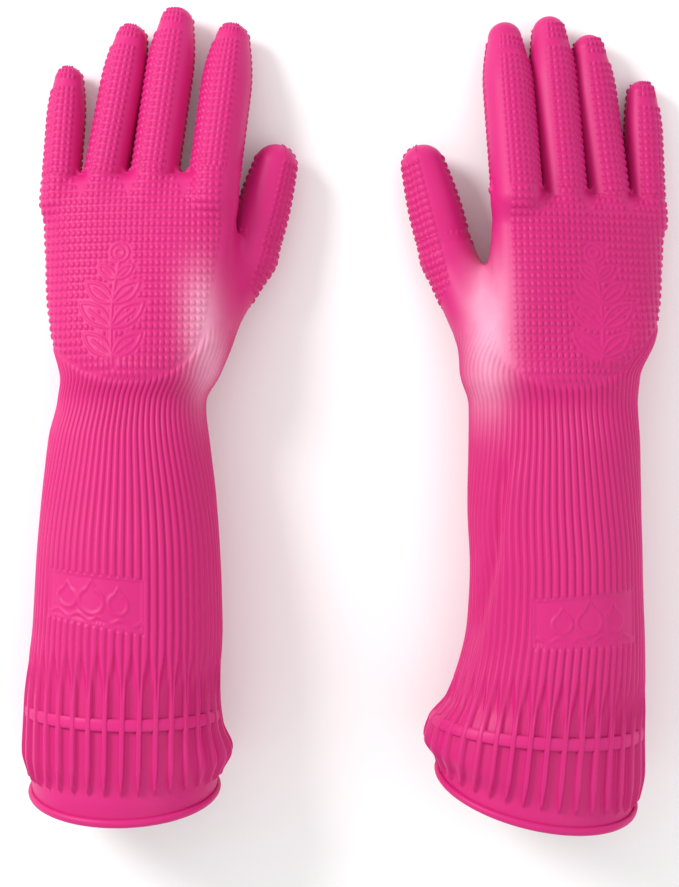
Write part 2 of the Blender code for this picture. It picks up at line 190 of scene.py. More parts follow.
RIGHT = {
    "name": "right",
    "side": -1,
    "roll": 18.0,
    "knuckle_z": 0.0265,
    "knuckle_middle": -0.0127,
    "band_place": 0.818,
    "rim_place": 0.984,
    "web_y": 0.0980,
    "fold": ((0.0375, 0.0343, 0.0293, 0.0240), (-0.1150, -0.0935, -0.0689, -0.0215)),
    "pleats_from": 0.1220,
    "pleats_to": 0.1720,
    "panel": (-0.0339, 0.0132, -0.0823, -0.0867, -0.1072, -0.1085),
    "sprig": (-0.0189, 0.0463),
    "nub_middle": -0.0040,
    "nub_half": 0.0330,
    # Place and size of the paler patch over the thumb's root, partly a painted highlight.
    "pale": (0.0311, 0.0307, 0.0095, 0.0340, 0.0),
    "outline": (
        (-0.068, 0.015, 0.898, 0.591, 0.0, 0.0),
        (0.000, 0.003, 0.858, 0.580, 0.0, 0.0),
        (0.102, -0.001, 0.869, 0.648, 0.0, 0.0),
        (0.255, 0.000, 0.876, 0.727, 0.0, 0.0),
        (0.414, -0.008, 0.867, 0.773, 0.0, 0.0),
        (0.567, -0.002, 0.894, 0.795, 1.0, 0.0),
        (0.759, 0.048, 1.001, 0.830, 6.0, 2.5),
        (0.827, 0.097, 1.091, 0.841, 8.0, 4.0),
        (0.890, 0.109, 1.119, 0.841, 13.0, 7.0),
        (0.941, 0.091, 1.045, 0.830, 17.0, 9.0),
        (0.986, 0.100, 1.000, 0.818, 20.0, 10.0),
    ),
    "webs": (0.0007, 0.0011, 0.0007),
    "fingers": {
        "index": (0.1055, 2.8),
        "middle": (0.1024, 3.7),
        "ring": (0.0998, 6.3),
        "little": (0.0977, 1.8),
    },
    "thumb": (0.0188, 0.0690, 14.7),
}
GLOVES = (LEFT, RIGHT)


# ---------------------------------------------------------------- small helpers
def smoothstep(low, high, value):
    share = np.clip((value - low) / (high - low), 0.0, 1.0)
    return share * share * (3 - 2 * share)


def smooth_min(first, second, reach):
    """The lesser of two distances, with a fillet of this reach where they meet."""
    overlap = np.maximum(reach - np.abs(first - second), 0.0) / reach
    return np.minimum(first, second) - overlap * overlap * reach / 4


def smooth_rows(places, rows, wanted):
    """Rows read at the wanted places on a smooth curve that doesn't overshoot."""
    x = np.asarray(places, float)
    y = np.asarray(rows, float)
    step = np.diff(x)
    slope = np.diff(y, axis=0) / step[:, None]
    product = slope[:-1] * slope[1:]
    total = slope[:-1] + slope[1:]
    tangent = np.zeros_like(y)
    safe = np.where(np.abs(total) > 1e-12, total, 1.0)
    tangent[1:-1] = np.where(product > 0, 2 * product / safe, 0.0)
    tangent[0], tangent[-1] = slope[0], slope[-1]
    wanted = np.clip(np.asarray(wanted, float), x[0], x[-1])
    k = np.clip(np.searchsorted(x, wanted) - 1, 0, len(step) - 1)
    h = step[k][..., None]
    t = ((wanted - x[k])[..., None]) / h
    return (
        (2 * t**3 - 3 * t**2 + 1) * y[k]
        + (t**3 - 2 * t**2 + t) * h * tangent[k]
        + (3 * t**2 - 2 * t**3) * y[k + 1]
        + (t**3 - t**2) * h * tangent[k + 1]
    )


# ---------------------------------------------------------------- how a glove lies
def knuckle_row(glove):
    """Each finger's place across the hand, measured along the roll, and the row's width."""
    gaps = (0.0, *glove["webs"])
    names = list(glove["fingers"])
    whole = sum(FINGERS[name][2] for name in names) + sum(gaps)
    edge = glove["knuckle_middle"] + whole / 2
    places = {}
    for name, gap in zip(names, gaps):
        width = FINGERS[name][2]
        places[name] = edge - gap - width / 2
        edge -= gap + width
    return places, whole


def body_table(glove):
    """Sections from the rim to the webs: middle, half width, half height, centre height,
    roll, squareness, and the slopes of its tilt and yaw."""
    places = []
    rows = []
    rise = PALM_REST_Z - (WRIST_HEIGHT / 2 - FLAT_SINK)
    for place, middle, width, height, tilt, yaw in reversed(glove["outline"]):
        y = -place * SLEEVE_LENGTH
        share = max(0.0, (y - RISE_FROM) / (WRIST_FRONT - RISE_FROM))
        half_height = height * SLEEVE_WIDTH / 2
        centre_z = half_height - FLAT_SINK + rise * share
        slopes = (math.tan(math.radians(tilt)), math.tan(math.radians(yaw)))
        places.append(y)
        rows.append(
            (middle * SLEEVE_WIDTH, width * SLEEVE_WIDTH / 2, half_height, centre_z, 0.0, 2.0, *slopes)
        )
    wrist_middle, wrist_width = rows[-1][0], rows[-1][1] * 2
    _, row_width = knuckle_row(glove)
    knuckle_middle = glove["knuckle_middle"] * math.cos(math.radians(glove["roll"]))
    web_y = glove["web_y"]
    front = (
        (web_y - 0.0045, 0.0190, 1.0, 0.985),
        (web_y - 0.0015, 0.0120, 1.0, 0.95),
        (web_y, 0.0060, 1.0, 0.90),
    )
    for y, height, roll_share, width_share in PALM_SECTIONS + front:
        roll = math.radians(glove["roll"]) * roll_share
        middle = wrist_middle + (knuckle_middle - wrist_middle) * width_share
        width = wrist_width + (row_width * PALM_FULLNESS - wrist_width) * width_share
        reach = min((y - WRIST_FRONT) / (KNUCKLE_Y - WRIST_FRONT), 1.0)
        centre_z = PALM_REST_Z + (glove["knuckle_z"] - PALM_REST_Z) * reach + middle * math.tan(roll)
        places.append(y)
        rows.append((middle, width / 2, height / 2, centre_z, roll, PALM_SQUARENESS, 0.0, 0.0))
    return np.array(places), np.array(rows)


def finger_frame(glove, name):
    """Where a finger starts and its three directions: along, across and up from its back."""
    if name in glove["frames"]:
        return glove["frames"][name]
    length, _, width = FINGERS[name]
    roll = math.radians(glove["roll"])
    if name == "thumb":
        beside, y, lean = glove["thumb"]
        rows = glove["table"][1]
        at_knuckles = rows[-4]
        x = at_knuckles[0] + at_knuckles[1] * PALM_EDGE_SHARE + beside
        root = np.array((x, y, width / 2 + THUMB_ROOT_REST))
        tip_z = width / 2 * TIP_SLIMNESS + THUMB_TIP_REST
    else:
        root_y, lean = glove["fingers"][name]
        place = knuckle_row(glove)[0][name]
        root = np.array(
            (place * math.cos(roll), root_y, glove["knuckle_z"] + place * math.sin(roll))
        )
        tip_z = width / 2 * TIP_SLIMNESS + TIP_REST
    drop = (root[2] - tip_z) / length
    level = math.sqrt(1 - drop**2)
    turn = math.radians(lean)
    along = np.array((math.sin(turn) * level, math.cos(turn) * level, -drop))
    rolled = np.array((math.cos(roll), 0.0, math.sin(roll)))
    across = rolled - along * rolled.dot(along)
    across /= np.linalg.norm(across)
    glove["frames"][name] = root, along, across, np.cross(across, along)
    return glove["frames"][name]


def root_radius(name):
    """The rubber's radius at a finger's root, under the nubs."""
    return FINGERS[name][2] / 2 - NUB_HEIGHT * NUB_SHARE_INSIDE


def finger_radius(name, distance):
    """The rubber's radius at a distance from the root, up to the middle of the round tip."""
    length = FINGERS[name][0]
    root = root_radius(name)
    tip = root * TIP_SHARE[name]
    from_tip = length - distance - tip
    return tip + (root - tip) * np.sin(np.clip(from_tip / (root * 2.3), 0.0, 1.0) * math.pi / 2)


def finger_distance(glove, name, x, y, z, start=-0.012):
    root, along, _, _ = finger_frame(glove, name)
    length = FINGERS[name][0]
    rx, ry, rz = x - root[0], y - root[1], z - root[2]
    t = rx * along[0] + ry * along[1] + rz * along[2]
    tip = root_radius(name) * TIP_SHARE[name]
    t = np.clip(t, start, length - tip)
    gap = (rx - along[0] * t) ** 2 + (ry - along[1] * t) ** 2 + (rz - along[2] * t) ** 2
    return np.sqrt(gap) - finger_radius(name, t)


def cone_distance(a, b, radius_a, radius_b, x, y, z):
    """Distance to a round bar that goes from one radius to another."""
    d = b - a
    rx, ry, rz = x - a[0], y - a[1], z - a[2]
    t = np.clip((rx * d[0] + ry * d[1] + rz * d[2]) / d.dot(d), 0.0, 1.0)
    gap = (rx - d[0] * t) ** 2 + (ry - d[1] * t) ** 2 + (rz - d[2] * t) ** 2
    return np.sqrt(gap) - (radius_a + (radius_b - radius_a) * t)


def body_distance(glove, x, y, z):
    places, rows = glove["table"]
    values = smooth_rows(places, rows, y).astype(np.float32)
    middle, half_width, half_height, centre_z, roll, squareness, _, _ = np.moveaxis(values, -1, 0)
    rx, rz = x - middle, z - centre_z
    u = rx * np.cos(roll) + rz * np.sin(roll)
    v = rz * np.cos(roll) - rx * np.sin(roll)
    u = np.abs(u) + 1e-5
    v = np.abs(v) + 1e-5
    fullness = ((u / half_width) ** squareness + (v / half_height) ** squareness) ** (1 / squareness)
    size = np.sqrt(u * u + v * v)
    distance = size - size / np.maximum(fullness, 1e-3)
    return np.maximum(distance, y - glove["web_y"])


def thumb_base(glove):
    wrist = smooth_rows(*glove["table"], np.array([WRIST_FRONT]))[0]
    return np.array((wrist[0] + wrist[1] * THENAR_SHARE, THENAR_Y, THENAR_Z))


def hand_distance(glove, x, y, z):
    """Signed distance to the rubber of palm, fingers and thumb, nearly true close to it."""
    body = body_distance(glove, x, y, z)
    root = finger_frame(glove, "thumb")[0]
    ball = cone_distance(thumb_base(glove), root, THENAR_RADIUS, root_radius("thumb"), x, y, z)
    body = smooth_min(body, ball, 0.010)
    fingers = None
    for name in FINGERS:
        if name == "thumb":
            continue
        one = finger_distance(glove, name, x, y, z)
        fingers = one if fingers is None else np.minimum(fingers, one)
    body = smooth_min(body, fingers, 0.0045)
    thumb = finger_distance(glove, "thumb", x, y, z, 0.0)
    along = finger_frame(glove, "thumb")[1]
    reached = (x - root[0]) * along[0] + (y - root[1]) * along[1] + (z - root[2]) * along[2]
    return smooth_min(body, thumb, 0.0030 - 0.0029 * smoothstep(0.0010, 0.0070, reached))


def gradient(glove, points, step=0.0002):
    x, y, z = points.T
    found = []
    for k in range(3):
        shift = np.zeros(3)
        shift[k] = step
        ahead = hand_distance(glove, x + shift[0], y + shift[1], z + shift[2])
        behind = hand_distance(glove, x - shift[0], y - shift[1], z - shift[2])
        found.append((ahead - behind) / (2 * step))
    return np.stack(found, axis=1)


def settle(glove, points, times=2):
    """Points moved onto the skin."""
    for _ in range(times):
        slope = gradient(glove, points)
        distance = hand_distance(glove, *points.T)
        length = np.maximum((slope**2).sum(axis=1), 0.25)
        points = points - slope * (distance / length)[:, None]
    return points


# ---------------------------------------------------------------- relief on the rubber
def nub(across, along, pitch_across, pitch_along):
    """A field of small rounded pads, 1 on a pad's top and 0 between pads."""
    u = (across / pitch_across + 0.5) % 1.0 - 0.5
    v = (along / pitch_along + 0.5) % 1.0 - 0.5
    reach = (np.abs(u) / 0.40) ** 2.6 + (np.abs(v) / 0.36) ** 2.6
    return 1.0 - smoothstep(0.35, 1.15, reach)


def stroke_points(start, bend, end, count=24):
    """Points along one bent stroke."""
    t = np.linspace(0, 1, count)[:, None]
    start, bend, end = map(np.asarray, (start, bend, end))
    return (1 - t) ** 2 * start + 2 * t * (1 - t) * bend + t**2 * end


def sprig_strokes():
    """A plain leafy sprig: a bent stem, paired pointed leaves, and a round berry on top."""
    strokes = [stroke_points((0.000, -0.029), (-0.003, -0.005), (0.002, 0.018), 60)]
    for share, side, length in (
        (0.10, 1, 0.0165), (0.10, -1, 0.0165), (0.36, 1, 0.0185), (0.36, -1, 0.0185),
        (0.61, 1, 0.0155), (0.61, -1, 0.0155), (0.84, 1, 0.0100), (0.84, -1, 0.0100),
    ):
        foot = strokes[0][int(share * 59)]
        lean = math.radians(38)
        tip = foot + np.array((side * math.cos(lean), math.sin(lean))) * length
        bulge = np.array((-side * math.sin(lean), math.cos(lean))) * length * 0.42
        middle = (foot + tip) / 2
        strokes.append(stroke_points(foot, middle + bulge, tip, 30))
        strokes.append(stroke_points(foot, middle - bulge, tip, 30))
        strokes.append(stroke_points(foot, middle, foot + (tip - foot) * 0.7, 20))
    angle = np.linspace(0, 2 * math.pi, 40)
    top = strokes[0][-1] + np.array((0.0, 0.0042))
    for radius in (0.0042, 0.0020):
        strokes.append(top + radius * np.stack((np.cos(angle), np.sin(angle)), axis=1))
    return np.concatenate(strokes)


def nearest_stroke(across, along, strokes):
    best = np.full(across.shape, 1.0)
    for sx, sy in strokes:
        best = np.minimum(best, (across - sx) ** 2 + (along - sy) ** 2)
    return np.sqrt(best)


def palm_relief(glove, points, normals, rib_share):
    """Height of the nubs and the sprig over the palm."""
    x, y, z = points.T
    roll = math.radians(glove["roll"])
    across = x * math.cos(roll) + z * math.sin(roll) * 0.35
    lean = normals[:, 0] * math.cos(roll) + normals[:, 2] * math.sin(roll)
    field = nub(across, y, NUB_ACROSS, NUB_ALONG_PALM)
    field = field * (1 - smoothstep(0.50, 0.62, lean))
    # the lower edge of the nubs is a wide U
    middle_x, half = glove["nub_middle"], glove["nub_half"]
    lower = 0.0095 + 0.0147 * np.abs((x - middle_x) / half) ** 2.4
    is_back = normals[:, 2] > 0
    field = field * smoothstep(-0.0006, 0.0006, y - np.where(is_back, lower, 0.0200))
    # bare triangles below the webs
    for web_x, web_y in glove["web_points"]:
        below = web_y - y
        width = 0.0052 - 0.42 * below
        bare = (np.abs(x - web_x) < width) & (below > -0.004)
        field = np.where(bare & is_back, 0.0, field)
    # the sprig stands on a bare field
    sx, sy = glove["sprig"]
    u, v = x - sx, y - sy
    near = is_back & (np.abs(u) < 0.022) & (np.abs(v) < 0.040)
    line = np.zeros(len(x))
    gap = nearest_stroke(u[near], v[near], sprig_strokes())
    line[near] = 1 - smoothstep(0.00025, 0.00085, gap)
    field[near] *= smoothstep(0.0014, 0.0020, gap)
    field = field * (1 - rib_share)
    return field * NUB_HEIGHT + line * 0.00042


def thumb_strips(glove, points):
    """Nubs along the outer and the inner edge of the thumb and its ball."""
    root, along, across, back = finger_frame(glove, "thumb")
    rel = points - root
    t = rel @ along
    u, v = rel @ across, rel @ back
    angle = np.arctan2(u, v)
    radius = FINGERS["thumb"][2] / 2
    field = nub(angle * radius, t, NUB_ACROSS, NUB_ALONG_FINGER)
    outer = smoothstep(math.radians(30), math.radians(36), angle)
    inner = 1 - smoothstep(math.radians(-52), math.radians(-46), angle)
    edge = smoothstep(-0.024, -0.022, t - np.maximum(0.0, math.radians(95) - angle) * 0.008)
    return field * np.maximum(outer * edge, inner * smoothstep(0.0, 0.002, t))


def finger_relief(name, distance, angle):
    """Nub height on a finger: angle is from its back towards the thumb's side."""
    length, _, width = FINGERS[name]
    radius = width / 2
    count = round(2 * math.pi * radius / NUB_ACROSS)
    field = nub(angle / (2 * math.pi) * count, distance, 1.0, NUB_ALONG_FINGER)
    if name == "thumb":
        low, high = math.radians(-48), math.radians(32)
    else:
        low, high = math.radians(36), math.radians(100)
    bare = smoothstep(low, low + 0.06, angle) * (1 - smoothstep(high - 0.06, high, angle))
    from_tip = length - distance
    palm_side = np.cos(angle) < -0.2
    gap = smoothstep(0.0125, 0.0120, from_tip) + smoothstep(0.0155, 0.0160, from_tip)
    cap = smoothstep(0.0035, 0.0040, from_tip) * (np.abs(angle) < 0.75)
    cap = np.where(from_tip > 0.0140, 1.0, cap)
    shown = np.where(palm_side, smoothstep(0.004, 0.0045, from_tip), np.clip(gap, 0, 1) * cap)
    return field * (1 - bare) * shown


# ---------------------------------------------------------------- rings and columns
def column_angles(y):
    """The place of each column round a section at y. At the wrist they crowd onto the back."""
    turn = 2 * math.pi * np.arange(COLUMNS) / COLUMNS
    crowd = 0.20 * smoothstep(-0.070, 0.000, np.asarray(y, float))[..., None]
    return turn + crowd * np.cos(turn)


def sleeve_points(glove, ys, angles):
    """Points of the sleeve's plain sections at ys, and the outward direction in the section."""
    places, rows = glove["table"]
    values = smooth_rows(places, rows, ys)
    middle, half_width, half_height, centre_z, _, _, tilt, yaw = (
        v[:, None] for v in np.moveaxis(values, -1, 0)
    )
    cos_a, sin_a = np.cos(angles), np.sin(angles)
    # the pleats keep straight where the cuff bulges, so the columns don't follow the bulge
    ends = smooth_rows(places, rows, np.array((STRAIGHT_FROM, places[0])))
    share = np.clip((STRAIGHT_FROM - np.asarray(ys)) / (STRAIGHT_FROM - places[0]), 0, 1)[:, None]
    straight_middle = ends[0, 0] + (ends[1, 0] - ends[0, 0]) * share
    straight_half = ends[0, 1] + (ends[1, 1] - ends[0, 1]) * share
    shift = (straight_middle - middle + (straight_half - half_width) * cos_a) / half_width
    shift = np.where(share > 0, shift * (1 - cos_a**4), 0.0)
    cos_a = np.clip(cos_a + shift, -1.0, 1.0)
    sin_a = np.sign(sin_a) * np.sqrt(1 - cos_a**2)
    across = half_width * cos_a
    upward = half_height * sin_a
    outward = np.stack((cos_a / half_width, np.zeros_like(cos_a), sin_a / half_height), axis=-1)
    outward /= np.linalg.norm(outward, axis=-1, keepdims=True)
    z = centre_z + upward
    y = np.asarray(ys)[:, None] + across * yaw - (z - centre_z) * tilt
    return np.stack((middle + across, y, z), axis=-1), outward


def rest_on_table(points, lift):
    """The underside pressed flat where it rests."""
    points[..., 2] = np.maximum(points[..., 2], lift)
    return points


def rib_profile(columns):
    share = (columns % STEPS_PER_RIB) / STEPS_PER_RIB
    return 1 - np.abs(2 * share - 1) ** 2.6


def pleat_profile(columns, half):
    """One narrow ridge for each pair of ribs; half is the ridge's half width as a share."""
    pair = 2 * STEPS_PER_RIB
    share = (columns % pair) / pair
    return 1 - smoothstep(half - 0.05, half + 0.05, np.abs(share - 0.5))


def sleeve_relief(glove, ys):
    """How far the skin stands out from the plain section at each row and column."""
    columns = np.arange(COLUMNS)
    pair = 2 * STEPS_PER_RIB
    from_ridge = np.abs((columns % pair) / pair - 0.5)
    ys = np.asarray(ys)[:, None]
    ribs = rib_profile(columns)[None, :] * RIB_DEPTH
    start = -glove["pleats_from"]
    pleated = smoothstep(0.0, 1.0, (start - ys) / 0.016 + (from_ridge * 2 - 0.5)[None, :] * 0.8)
    top = np.sin(column_angles(ys[:, 0]))
    ends = -glove["pleats_to"] + 0.004 * top
    near_end = np.clip((ys - ends) / 0.009, 0.0, 1.0)
    half = 0.165 * np.sqrt(near_end)
    ridge = pleat_profile(columns[None, :], half) * smoothstep(0.0, 0.25, near_end)
    floor = -0.45 * PLEAT_DEPTH * smoothstep(-0.004, 0.004, ys - ends)
    pleats = ridge * PLEAT_DEPTH + floor
    return ribs * (1 - pleated) + pleats * pleated, pleated


def face_outward(mesh, points):
    """Turns all the faces round if, taken together, they look towards the middle."""
    centres = np.empty(len(mesh.polygons) * 3, np.float32)
    normals = np.empty(len(mesh.polygons) * 3, np.float32)
    areas = np.empty(len(mesh.polygons), np.float32)
    mesh.polygons.foreach_get("center", centres)
    mesh.polygons.foreach_get("normal", normals)
    mesh.polygons.foreach_get("area", areas)
    out = (centres.reshape(-1, 3) - points.mean(axis=0)) * normals.reshape(-1, 3)
    if (out.sum(axis=1) * areas).sum() < 0:
        mesh.flip_normals()


class Skin:
    """Points and faces gathered for one piece, with each point's share of the paler patch, partly painted
    highlight.
    """

    def __init__(self):
        self.points = []
        self.quads = []
        self.triangles = []
        self.pale = []
        self.count = 0

    def add_points(self, points, pale=None):
        first = self.count
        points = np.asarray(points, float).reshape(-1, 3)
        self.points.append(points)
        self.pale.append(np.zeros(len(points)) if pale is None else np.ravel(pale))
        self.count += len(points)
        return first

    def add_grid(self, points, pale=None, flip=False):
        """Rows of points closed into rings. It returns the first and the last ring's numbers."""
        rows, columns = points.shape[:2]
        first = self.add_points(points, pale)
        number = first + np.arange(rows * columns).reshape(rows, columns)
        turned = np.roll(number, -1, axis=1)
        quads = np.stack((number[:-1], turned[:-1], turned[1:], number[1:]), axis=-1).reshape(-1, 4)
        self.quads.append(quads[:, ::-1] if flip else quads)
        return number[0], number[-1]

    def all_points(self):
        return np.concatenate(self.points)

    def zip_rings(self, first, second):
        """Triangles between two closed rings that lie close together, whatever their counts."""
        points = self.all_points()
        a, b = np.asarray(first), np.asarray(second)
        gap = np.linalg.norm(points[a] - points[b[0]], axis=1)
        a = np.roll(a, -int(np.argmin(gap)))
        quarter = np.argmin(np.linalg.norm(points[a] - points[b[len(b) // 4]], axis=1))
        if quarter > len(a) // 2:
            a = np.roll(a[::-1], 1)
        i = j = 0
        made = []
        while i < len(a) or j < len(b):
            here_a, here_b = a[i % len(a)], b[j % len(b)]
            next_a, next_b = a[(i + 1) % len(a)], b[(j + 1) % len(b)]
            by_a = np.linalg.norm(points[next_a] - points[here_b])
            by_b = np.linalg.norm(points[next_b] - points[here_a])
            if j >= len(b) or (i < len(a) and by_a <= by_b):
                made.append((here_a, next_a, here_b))
                i += 1
            else:
                made.append((here_a, next_b, here_b))
                j += 1
        self.triangles.append(np.array(made))

    def face_out(self, glove):
        """Every face turned to look away from the rubber's inside."""
        points = self.all_points()
        for group in (self.quads, self.triangles):
            for k, faces in enumerate(group):
                corners = points[faces]
                normal = np.cross(corners[:, 1] - corners[:, 0], corners[:, 2] - corners[:, 0])
                normal += np.cross(corners[:, 2] - corners[:, 0], corners[:, -1] - corners[:, 0])
                wrong = (normal * gradient(glove, corners.mean(axis=1))).sum(axis=1) < 0
                if group is self.quads:
                    wrong[:] = wrong.mean() > 0.5
                group[k] = np.where(wrong[:, None], faces[:, ::-1], faces)

    def build(self, glove, name, material):
        """The piece as an object in the world, with the glove's side taken into account."""
        points = self.all_points()
        points = points * np.array((glove["side"], 1, 1)) + glove["origin"]
        quads = np.concatenate(self.quads) if self.quads else np.zeros((0, 4), int)
        triangles = np.concatenate(self.triangles) if self.triangles else np.zeros((0, 3), int)
        if glove["side"] < 0:
            quads, triangles = quads[:, ::-1], triangles[:, ::-1]
        full = f"{glove['name']}_{name}"
        mesh = bpy.data.meshes.new(full)
        mesh.vertices.add(len(points))
        mesh.vertices.foreach_set("co", points.astype(np.float32).ravel())
        mesh.loops.add(quads.size + triangles.size)
        mesh.loops.foreach_set(
            "vertex_index", np.concatenate((quads.ravel(), triangles.ravel())).astype(np.int32)
        )
        mesh.polygons.add(len(quads) + len(triangles))
        starts = np.concatenate(
            (np.arange(len(quads)) * 4, quads.size + np.arange(len(triangles)) * 3)
        )
        mesh.polygons.foreach_set("loop_start", starts.astype(np.int32))
        mesh.update(calc_edges=True)
        mesh.validate()
        face_outward(mesh, points)
        # Each point's share of the paler patch, partly a painted highlight.
        attribute = mesh.attributes.new("pale", "FLOAT", "POINT")
        attribute.data.foreach_set("value", np.concatenate(self.pale).astype(np.float32))
        mesh.shade_smooth()
        mesh.materials.append(material)
        obj = bpy.data.objects.new(full, mesh)
        bpy.context.scene.collection.objects.link(obj)
        return obj


# ---------------------------------------------------------------- the hand
def cut_distance(glove, name):
    """Where a finger's own tube starts, clear of the webs."""
    root, along, _, _ = finger_frame(glove, name)
    if name == "thumb":
        return 0.0100
    return (glove["web_y"] + 0.0048 - root[1]) / along[1]


def hand_rows(glove, ys):
    """Sections of wrist and lower palm, found by looking outward from the middle."""
    places, rows = glove["table"]
    values = smooth_rows(places, rows, ys)
    middle, half_width, half_height, centre_z, roll = (
        values[:, k][:, None] for k in range(5)
    )
    angles = column_angles(ys)
    u, v = half_width * np.cos(angles), half_height * np.sin(angles)
    size = np.sqrt(u * u + v * v)
    u, v = u / size, v / size
    dx = u * np.cos(roll) - v * np.sin(roll)
    dz = u * np.sin(roll) + v * np.cos(roll)
    ox = middle + 0 * dx
    oy = np.asarray(ys)[:, None] + 0 * dx
    oz = centre_z + 0 * dx
    near, far = np.zeros_like(dx), np.full_like(dx, 0.075)
    for _ in range(17):
        half = (near + far) / 2
        outside = hand_distance(glove, ox + dx * half, oy, oz + dz * half) > 0
        far = np.where(outside, half, far)
        near = np.where(outside, near, half)
    reach = (near + far) / 2
    return np.stack((ox + dx * reach, oy, oz + dz * reach), axis=-1)


def rib_share_on_hand(glove, points, angles):
    """1 where the wrist's ribs are whole, fading out where the nubs start."""
    x, y, _ = points.T
    middle_x, half = glove["nub_middle"], glove["nub_half"]
    lower = 0.0090 + 0.0147 * np.abs((x - middle_x) / half) ** 2.4
    lower = np.where(np.sin(angles) > 0, lower, 0.0195)
    at_thumb = smoothstep(0.62, 0.90, np.cos(angles)) * (np.sin(angles) > -0.35)
    lower = np.where(at_thumb > 0, lower * (1 - at_thumb) + 0.0370 * at_thumb, lower)
    fade = 0.0022 + 0.016 * at_thumb
    return 1 - smoothstep(0.0, 1.0, (y - lower + fade) / fade)


def pale_sheen_share(glove, points, normals):
    """A paler patch over the root of the thumb: partly the thinned rubber, partly a painted highlight on
    the side facing up.
    """
    px, py, sx, sy, turn = glove["pale"]
    c, s = math.cos(turn), math.sin(turn)
    u, v = points[:, 0] - px, points[:, 1] - py
    u, v = (u * c + v * s) / sx, (v * c - u * s) / sy
    # Only where the rubber faces up: that much of the patch is a painted highlight.
    return np.exp(-(u * u) - np.abs(v) ** 3) * smoothstep(-0.1, 0.5, normals[:, 2])


def nearest_finger(glove, points):
    """The distances to every finger, and the number of the nearest one."""
    distances = [finger_distance(glove, name, *points.T, start=-0.004) for name in FINGERS]
    return distances, np.argmin(np.array(distances), axis=0)


def hand_relief(glove, points, normals, rib_share, rib_height):
    """Nubs, sprig and ribs over the whole hand below the finger tubes."""
    root = finger_frame(glove, "thumb")[0]
    beside = 1 - smoothstep(root[1] + 0.008, root[1] + 0.014, points[:, 1])
    on_palm = 1 - smoothstep(0.0002, 0.0016, body_distance(glove, *points.T)) * beside
    ball = cone_distance(thumb_base(glove), root, THENAR_RADIUS, root_radius("thumb"), *points.T)
    ball = np.minimum(ball, finger_distance(glove, "thumb", *points.T, start=0.0))
    on_thumb = (1 - smoothstep(0.0003, 0.0014, ball)) * (1 - on_palm) * (1 - rib_share)
    height = palm_relief(glove, points, normals, rib_share) * on_palm
    height = height + rib_share * rib_height
    height = height + thumb_strips(glove, points) * NUB_HEIGHT * on_thumb
    _, owner = nearest_finger(glove, points)
    for k, name in enumerate(FINGERS):
        if name == "thumb":
            continue
        root, along, across, back = finger_frame(glove, name)
        rel = points - root
        t = rel @ along
        start = cut_distance(glove, name)
        angle = np.arctan2(rel @ across, rel @ back)
        here = (owner == k) & (t > start - 2 * NUB_ALONG_FINGER)
        field = finger_relief(name, t - start + NUB_ALONG_FINGER / 2, angle)
        height = np.where(here, field * NUB_HEIGHT, height)
    return height


def block_mesh(glove, pitch):
    """The knuckles and the root of the thumb as an even mesh, open where the rings join it."""
    low = np.array((-0.060, JOIN_Y - 0.004, -0.002))
    high = np.array((0.078, glove["web_y"] + 0.015, 0.062))
    counts = np.ceil((high - low) / pitch).astype(int)
    x, y, z = (
        (low[k] + pitch * np.arange(counts[k])).astype(np.float32) for k in range(3)
    )
    x, y, z = x[:, None, None], y[None, :, None], z[None, None, :]
    field = hand_distance(glove, x, y, z).astype(np.float32)
    grid = openvdb.FloatGrid(float(pitch * 6))
    grid.copyFromArray(field / pitch, tolerance=0)
    points, quads = grid.convertToQuads(isovalue=0.0)
    points = low + points.astype(float) * pitch
    move = settle(glove, points) - points
    far = np.linalg.norm(move, axis=1, keepdims=True)
    points = points + move * np.minimum(1.0, 0.35 * pitch / np.maximum(far, 1e-9))
    return points, quads[:, ::-1]


def longest_loop(edges):
    """The vertices along the longest closed chain of these edges, in order."""
    beside = {}
    for first, second in edges:
        beside.setdefault(first, []).append(second)
        beside.setdefault(second, []).append(first)
    left = set(beside)
    best = []
    while left:
        chain = [left.pop()]
        while True:
            ahead = [v for v in beside[chain[-1]] if v in left]
            if not ahead:
                break
            chain.append(ahead[0])
            left.discard(ahead[0])
        if len(chain) > len(best):
            best = chain
    return np.array(best)


